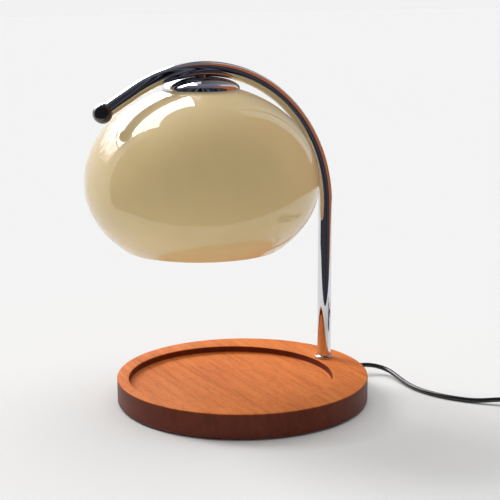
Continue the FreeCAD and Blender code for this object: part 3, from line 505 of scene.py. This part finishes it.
def shade():
    """Glass shell: upper and lower half ellipses outside and inside, joined by a round lip at the mouth."""
    rise = arc_radii(GLASS_HOLE_R, SHADE_R, SHADE_R, 70)
    down = arc_radii(SHADE_R, MOUTH_R, SHADE_R, 44)[1:]
    inner_r = SHADE_R - GLASS
    mouth_in = MOUTH_R - LIP_THICKNESS
    back = arc_radii(mouth_in, inner_r, inner_r, 40)
    over = arc_radii(inner_r, GLASS_HOLE_R, inner_r, 60)[1:]
    outside = np.vstack([
        np.stack([rise, EQUATOR + ellipse(rise, SHADE_R, CROWN_HIGH)], axis=-1),
        np.stack([down, EQUATOR - ellipse(down, SHADE_R, BOWL_DEEP)], axis=-1),
    ])
    inside = np.vstack([
        np.stack([back, EQUATOR - ellipse(back, inner_r, BOWL_DEEP - GLASS)], axis=-1),
        np.stack([over, EQUATOR + ellipse(over, inner_r, CROWN_HIGH - GLASS)], axis=-1),
    ])
    middle = (outside[-1] + inside[0]) / 2
    across = (outside[-1] - inside[0]) / 2
    down_way = np.array([-across[1], across[0]])
    down_way = down_way if down_way[1] < 0 else -down_way
    angle = np.linspace(0, math.pi, 12)[1:-1, None]
    lip = middle + across * np.cos(angle) + down_way * np.sin(angle)
    profile = np.vstack([outside, lip, inside, outside[:1]])
    piece = turned("glass_shade", profile, "root", finish["glass"], centre=(SHADE_X, 0, 0), columns=256,
                   sharp=50.0)
    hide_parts("shade_glass")


def cap():
    """Spun cap: a half ellipse of thin wall on a short skirt, with a rolled lower edge."""
    inside = CAP_R - CAP_WALL
    shoulder = CAP_LOW + CAP_SKIRT
    rise = CAP_TOP - shoulder
    r = arc_radii(CAP_HOLE_R, CAP_R, CAP_R, 70)
    dome = np.stack([r, shoulder + ellipse(r, CAP_R, rise)], axis=-1)
    edge = rounded(
        [(CAP_R, shoulder), (CAP_R, CAP_LOW), (inside, CAP_LOW), (inside, shoulder)],
        [0.3 * MM, 0.3 * MM],
        steps=5,
    )
    r = arc_radii(inside, CAP_HOLE_R, inside, 70)
    under = np.stack([r, shoulder + ellipse(r, inside, rise - CAP_WALL)], axis=-1)
    profile = np.vstack([dome, edge[1:], under[1:], dome[:1]])
    piece = turned("cap", profile, "root", finish["chrome"], centre=(SHADE_X, 0, 0), columns=160)
    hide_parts("cap_dome")


def relief():
    """Strain relief: a collar and a taper turned about the lead's axis, with grooves as a cosine ripple on
    the taper's radius."""
    length = RELIEF_OUT - BASE_R - 1.6 * MM
    u = np.linspace(0, 1, 90)
    taper = (3.2 * (1 - u) + 2.5 * u) * MM
    ripple = 0.18 * MM * np.cos(2 * math.pi * 3 * u) * (u < 0.85)
    sleeve = np.stack([taper + ripple, 14.2 * MM + u * length], axis=-1)
    head = np.array([(0.0, 0.0), (3.2, 0.0), (3.2, 12.8), (4.3, 12.9), (4.3, 14.1)]) * MM
    end = np.array([(CORD_R, sleeve[-1, 1]), (0.0, sleeve[-1, 1])])
    piece = turned("lead_relief", np.vstack([head, sleeve, end]), "root", finish["rubber"],
                   centre=(RELIEF_IN, 0, EXIT_Z), columns=48, axis=(1, 0, 0))
    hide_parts("cord_relief")
    return piece


# Cords

CORD_Z = 2.05 * MM
COIL_CENTRE = (250.0 * MM, -125.0 * MM)
COIL_OUTER = 36.0 * MM
COIL_TURNS = 8
COIL_STEP = 4.45 * MM
COIL_Z = 2.75 * MM
TURN_POINTS = 16
DIMMER_START = np.array([189.0, -150.0, 0.0]) * MM
DIMMER_HEADING = math.radians(-50.0)
DIMMER_LONG = 66.0 * MM
DIMMER_EXIT_Z = 6.5 * MM
PLUG_Z = 6.85 * MM


def heading(angle):
    """A level unit vector at an angle from +X."""
    return np.array([math.cos(angle), math.sin(angle), 0.0])


def up(height):
    """An upright vector of a height."""
    return np.array([0.0, 0.0, height])


def cord_curve(name, points, material):
    """A round cord along a smooth NURBS line that has the route's points as its control points."""
    curve = bpy.data.curves.new(name, "CURVE")
    curve.dimensions = "3D"
    curve.bevel_depth = CORD_R
    curve.bevel_resolution = 5
    curve.resolution_u = 10
    curve.use_fill_caps = True
    spline = curve.splines.new("NURBS")
    spline.points.add(len(points) - 1)
    for point, place in zip(spline.points, points):
        point.co = (*place, 1.0)
    spline.order_u = 3
    spline.use_endpoint_u = True
    return new_object(name, curve, "root", material)


def lead_points():
    """Out of the relief, down to the floor and away to the dimmer."""
    route = [
        (116.5, 0, 8.5),
        (126.2, 0, 8.5),
        (135.2, -3.7, 8.0),
        (141.6, -11.0, 6.6),
        (143.9, -20.4, 5.1),
        (142.8, -31.6, 3.7),
        (140.1, -46.4, 2.4),
        (138.2, -62.0, 2.05),
        (139.8, -80.0, 2.05),
        (147.0, -100.5, 2.05),
        (160.0, -119.5, 2.06),
    ]
    points = [np.array(p) * MM for p in route]
    points.append(DIMMER_START - heading(DIMMER_HEADING) * 20 * MM + up(5.4 * MM))
    points.append(DIMMER_START + up(DIMMER_EXIT_Z))
    return points


def plug_lead_points():
    """From the dimmer round to the coil, its turns, and on to the plug. The coil's radius falls by one step a
    turn to the middle turn and grows again. Its height climbs one step as half a cosine wave, over half a
    turn."""
    end = DIMMER_START + heading(DIMMER_HEADING) * DIMMER_LONG
    x, y = COIL_CENTRE
    rim = x + COIL_OUTER
    points = [
        end + up(DIMMER_EXIT_Z),
        end + heading(DIMMER_HEADING) * 12 * MM + up(5.2 * MM),
        np.array([254.1, -215.3, 3.0]) * MM,
        np.array([270.8, -211.8, 2.05]) * MM,
        np.array([283.5, -199.0, 2.05]) * MM,
        np.array([287.5, -178.0, 2.3]) * MM,
        np.array([rim, -151.0 * MM, COIL_Z]),
        np.array([rim, y - 4 * MM, COIL_Z]),
    ]
    reach = 1 / math.cos(math.pi / TURN_POINTS)
    for k in range(COIL_TURNS * TURN_POINTS):
        turn = (k + 0.5) / TURN_POINTS
        radius = (COIL_OUTER - COIL_STEP * min(turn, COIL_TURNS - turn)) * reach
        share = min(max((turn - COIL_TURNS / 2 + 0.25) / 0.5, 0), 1)
        height = COIL_Z + COIL_STEP * (1 - math.cos(math.pi * share)) / 2
        angle = 2 * math.pi * turn
        points.append(np.array([x + radius * math.cos(angle), y + radius * math.sin(angle), height]))
    top = COIL_Z + COIL_STEP
    points += [
        np.array([rim, y + 4 * MM, top]),
        np.array([rim, y + 14.0 * MM, top]),
        np.array([rim + 3.0 * MM, y + 27.0 * MM, top - 0.4 * MM]),
        np.array([rim + 8.8 * MM, y + 39.5 * MM, PLUG_Z]),
        np.array([rim + 15.0 * MM, y + 50.5 * MM, PLUG_Z]),
    ]
    return points


def cords():
    """The lead to the dimmer and the lead from it to the plug, each one smooth line."""
    sleeve = relief()
    first = cord_curve("lead_to_dimmer", lead_points(), finish["cord"])
    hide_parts("cord_lead")
    second = cord_curve("lead_to_plug", plug_lead_points(), finish["cord"])
    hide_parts("cord_middle", "cord_coil", "cord_tail")


def dress_nodes():
    """Each carried-over node takes the finish of its slot."""
    by_slot = {
        "wood": "wood", "pad": "felt", "chrome": "chrome", "zinc_steel": "steel", "black_ball": "ball",
        "opal_glass": "glass", "silicone": "silicone", "ceramic": "ceramic", "lamp_glass": "reflector",
        "lens_glass": "lens", "cord_black": "cord", "black_rubber": "rubber", "black_plastic": "shell",
        "board": "board", "capacitor_film": "film",
    }
    for entry in frame["record"]["subparts"]:
        node = frame["nodes"][entry["node"]]
        material = finish["plug_chrome" if entry["node"] == "plug_pins" else by_slot[entry["material_slot"]]]
        if not node.material_slots:
            node.data.materials.append(material)
        for place in node.material_slots:
            place.material = material


# Studio

def studio_axes():
    """The camera's right and forward directions on the floor."""
    right = np.array([math.cos(LOOK), -math.sin(LOOK), 0.0])
    ahead = np.array([math.sin(LOOK), math.cos(LOOK), 0.0])
    return right, ahead


def camera():
    """The photograph's view: about 1.05 m back, 12 degrees down, 31 degrees round from the arm's side."""
    data = bpy.data.cameras.new("camera")
    data.lens = LENS
    data.sensor_width = SENSOR
    data.sensor_fit = "HORIZONTAL"
    data.clip_start = 0.05
    data.clip_end = 50
    piece = bpy.data.objects.new("camera", data)
    bpy.context.scene.collection.objects.link(piece)
    right, ahead = (Vector(v) for v in studio_axes())
    look = ahead * math.cos(PITCH) - Vector((0, 0, 1)) * math.sin(PITCH)
    top = right.cross(look)
    turn = Matrix.Rotation(ROLL, 3, look)
    right, top = turn @ right, turn @ top
    pose = Matrix((right, top, -look)).transposed().to_4x4()
    level = -Vector(studio_axes()[0]) * CAMERA_SIDE - ahead * CAMERA_BACK
    pose.translation = level + Vector((0, 0, CAMERA_HIGH))
    piece.matrix_world = pose
    bpy.context.scene.camera = piece


# How pale the background is to the eye, the strength of the ambient light and the floor's own grey
PAPER = 0.888
AMBIENT = 0.32
FLOOR_ALBEDO = 0.85
# Soft lights: name, strength, degrees right of the view, degrees up, width of the source in degrees
LIGHTS = [
    ("window_light", 1.6, -58, 40, 26),
    ("sky_light", 1.35, 0, 72, 80),
]


def pale_rays(tree):
    """1 for camera, glossy and transmission rays, which see the pale background as it is."""
    path = add(tree, "ShaderNodeLightPath")
    total = math_node(tree, "ADD", path.outputs["Is Camera Ray"], path.outputs["Is Glossy Ray"])
    return math_node(tree, "ADD", total, path.outputs["Is Transmission Ray"], clamp=True)


def world():
    """Pale background to the eye and to mirrors, and an even ambient light to matt surfaces."""
    scene_world = bpy.data.worlds.new("studio")
    bpy.context.scene.world = scene_world
    scene_world.use_nodes = True
    tree = scene_world.node_tree
    tree.nodes.clear()
    seen = add(tree, "ShaderNodeBackground", in_Color=(PAPER, PAPER, PAPER, 1), in_Strength=1.0)
    lit = add(tree, "ShaderNodeBackground", in_Color=(1, 1, 1, 1), in_Strength=AMBIENT)
    mix = add(tree, "ShaderNodeMixShader")
    out = add(tree, "ShaderNodeOutputWorld")
    wire(tree, pale_rays(tree), mix.inputs[0])
    wire(tree, lit.outputs[0], mix.inputs[1])
    wire(tree, seen.outputs[0], mix.inputs[2])
    wire(tree, mix.outputs[0], out.inputs["Surface"])


def floor():
    """A wide matt floor that keeps the soft shadow."""
    size = 12.0
    points = np.array([[-size, -size, 0], [size, -size, 0], [size, size, 0], [-size, size, 0]])
    mesh = bpy.data.meshes.new("floor")
    mesh.from_pydata(points, [], [(0, 1, 2, 3)])
    material, tree, shader = new_material("floor_paper")
    shader.inputs["Base Color"].default_value = (FLOOR_ALBEDO, FLOOR_ALBEDO, FLOOR_ALBEDO, 1)
    shader.inputs["Roughness"].default_value = 1.0
    shader.inputs["Specular IOR Level"].default_value = 0.0
    new_object("floor", mesh, None, material)


def studio_lights():
    """Wide soft lights from behind, most from the left, as suns with broad discs."""
    right, ahead = studio_axes()
    for name, strength, side, rise, width in LIGHTS:
        data = bpy.data.lights.new(name, "SUN")
        data.energy = strength
        data.angle = math.radians(width)
        piece = bpy.data.objects.new(name, data)
        bpy.context.scene.collection.objects.link(piece)
        side, rise = math.radians(side), math.radians(rise)
        way = (ahead * math.cos(side) + right * math.sin(side)) * math.cos(rise) + up(math.sin(rise))
        piece.rotation_mode = "QUATERNION"
        piece.rotation_quaternion = Vector((0, 0, 1)).rotation_difference(Vector(way))
        piece.visible_glossy = False


def mirror_only(piece):
    """Only mirrors see the piece: it lights nothing, shades nothing and stays out of the picture."""
    piece.visible_camera = False
    piece.visible_diffuse = False
    piece.visible_transmission = False
    piece.visible_volume_scatter = False
    piece.visible_shadow = False


def wall(name, path, low, high, paint, over=None):
    """A card that only mirrors see: the surface between a path at its low height and the same path, or
    another, at its high height, with u along the path and v from low to high."""
    path = np.asarray(path, float)
    over = path if over is None else np.asarray(over, float)
    count = len(path)
    right, ahead = studio_axes()
    points = np.concatenate([
        np.array([SHADE_X, 0, height]) + edge[:, :1] * right + edge[:, 1:] * ahead
        for edge, height in ((path, low), (over, high))
    ])
    k = np.arange(count - 1)
    faces = np.stack([k, k + 1, k + 1 + count, k + count], axis=-1)
    mesh = bpy.data.meshes.new(name)
    mesh.from_pydata(points, [], faces.tolist())
    u = np.stack([k, k + 1, k + 1, k], axis=-1) / (count - 1)
    v = np.broadcast_to(np.array([0, 0, 1, 1]), u.shape)
    layer = mesh.uv_layers.new(name="card")
    layer.data.foreach_set("uv", np.stack([u, v], axis=-1).ravel())
    mirror_only(new_object(name, mesh, None, glow(name + "_paint", paint)))


def round_path(centre, radius, first, last, count=64):
    """Points on a circle, from one angle to another in degrees; 0 is straight ahead and 90 to the right."""
    angle = np.radians(np.linspace(first, last, count))
    return np.stack([centre[0] + radius * np.sin(angle), centre[1] + radius * np.cos(angle)], axis=-1)


def smooth_path(corners, passes=4):
    """Corner cutting: each pass puts two points on every run, a quarter of it from each end."""
    path = np.asarray(corners, float)
    for _ in range(passes):
        near = 0.75 * path[:-1] + 0.25 * path[1:]
        far = 0.25 * path[:-1] + 0.75 * path[1:]
        path = np.vstack([path[:1], np.stack([near, far], axis=1).reshape(-1, 2), path[-1:]])
    return path


def glow(name, paint):
    """A card's material: paint(tree, u, v) gives the colour socket to show."""
    material = bpy.data.materials.new(name)
    material.use_nodes = True
    tree = material.node_tree
    tree.nodes.clear()
    place = add(tree, "ShaderNodeUVMap", uv_map="card")
    split = add(tree, "ShaderNodeSeparateXYZ")
    wire(tree, place.outputs[0], split.inputs[0])
    emit = add(tree, "ShaderNodeEmission")
    wire(tree, paint(tree, split.outputs["X"], split.outputs["Y"]), emit.inputs["Color"])
    out = add(tree, "ShaderNodeOutputMaterial")
    wire(tree, emit.outputs[0], out.inputs["Surface"])
    return material


def bars(tree, value, count, width):
    """1 on thin bars that cut a 0 to 1 run into equal panes."""
    cell = math_node(tree, "FRACT", math_node(tree, "MULTIPLY", value, float(count)))
    low = math_node(tree, "LESS_THAN", cell, width)
    high = math_node(tree, "GREATER_THAN", cell, 1 - width)
    return math_node(tree, "MAXIMUM", low, high)


def window_paint(tree, u, v):
    """Bright panes with thin grey bars; the lower part dims behind the things on its sill."""
    bar = math_node(tree, "MAXIMUM", bars(tree, u, 7, 0.035), bars(tree, v, 5, 0.03))
    clutter = add(tree, "ShaderNodeTexNoise", noise_dimensions="2D", in_Scale=16.0, in_Detail=3.0)
    flat = add(tree, "ShaderNodeCombineXYZ")
    wire(tree, u, flat.inputs["X"])
    wire(tree, v, flat.inputs["Y"])
    wire(tree, flat.outputs[0], clutter.inputs["Vector"])
    edge = math_node(tree, "MULTIPLY_ADD", clutter.outputs["Fac"], 0.2, math_node(tree, "SUBTRACT", v, 0.06))
    sky = ramp(tree, edge, [(0.02, (0.5, 0.5, 0.52)), (0.12, (3.0, 3.0, 3.1)), (0.3, (9.0, 9.0, 9.3))])
    return mix_colour(tree, bar, sky, (0.9, 0.9, 1.0))


def room_paint(tree, u, v):
    """The dark room round the camera: soft upright streaks, warm wood on the right, paler higher up."""
    streak = add(tree, "ShaderNodeTexNoise", noise_dimensions="1D", in_Scale=43.0, in_Detail=3.0)
    wire(tree, u, streak.inputs["W"])
    grey = [(0.46, (0.004, 0.004, 0.006)), (0.6, (0.10, 0.10, 0.13))]
    stripes = ramp(tree, streak.outputs["Fac"], grey)
    rise = ramp(tree, v, [(0.3, (0.0, 0.0, 0.0)), (1.0, (0.10, 0.10, 0.12))])
    dark = mix_colour(tree, 1.0, stripes, rise, "ADD")
    wood = ramp(tree, streak.outputs["Fac"], [(0.4, (0.30, 0.085, 0.035)), (0.62, (0.60, 0.22, 0.10))])
    beyond = ramp(tree, u, [(0.0, (1, 1, 1)), (0.385, (1, 1, 1)), (0.40, (0, 0, 0))])
    return mix_colour(tree, beyond, dark, wood)


def back_paint(tree, u, v):
    """Wall behind on the right: dim, then a pale panel with a thin frame, over a dark wooden foot."""
    panel = ramp(tree, u, [
        (0.0, (0.09, 0.09, 0.10)),
        (0.28, (0.26, 0.26, 0.29)),
        (0.36, (0.62, 0.62, 0.66)),
        (0.40, (0.03, 0.03, 0.035)),
        (0.415, (0.80, 0.80, 0.82)),
        (0.8, (0.80, 0.80, 0.82)),
        (0.83, (0.10, 0.10, 0.11)),
    ])
    foot = math_node(tree, "LESS_THAN", v, 0.13)
    return mix_colour(tree, foot, panel, (0.22, 0.075, 0.035))


def ceiling_paint(tree, u, v):
    """Grey ceiling with a cool tint."""
    return ramp(tree, v, [(0.0, (0.12, 0.12, 0.14)), (1.0, (0.22, 0.23, 0.28))])


# Foot of the dark room round the camera, right to left: metres right of and ahead of the shade's axis
ROOM_EDGE = [
    (0.78, 0.80), (0.86, 0.40), (0.70, 0.14), (0.50, -0.06), (0.26, -0.20), (0.0, -0.235), (-0.2, -0.215),
    (-0.42, -0.15), (-0.50, -0.02),
]
ROOM_HIGH = 1.9


def mirrored_room():
    """What the lamp mirrors: a window behind on the left, a dark room in front, a dim wall and a ceiling."""
    wall("room", smooth_path(ROOM_EDGE), 0.0, ROOM_HIGH, room_paint)
    wall("window", round_path((0.0, 0.0), 0.9, -76, -8), 0.40, ROOM_HIGH, window_paint)
    wall("back", round_path((0.0, 0.0), 1.15, -2, 84), 0.0, ROOM_HIGH, back_paint)
    wall("ceiling", [(-1.2, -0.35), (1.3, -0.35)], ROOM_HIGH, ROOM_HIGH, ceiling_paint,
         over=[(-1.2, 1.3), (1.3, 1.3)])


# Build

tray()
tube_end, tube_way = arm()
ball(tube_end, tube_way)
ferrule()
shade()
cap()
cords()
dress_nodes()
camera()
world()
floor()
studio_lights()
mirrored_room()

scene = bpy.context.scene
scene.view_settings.view_transform = "Standard"
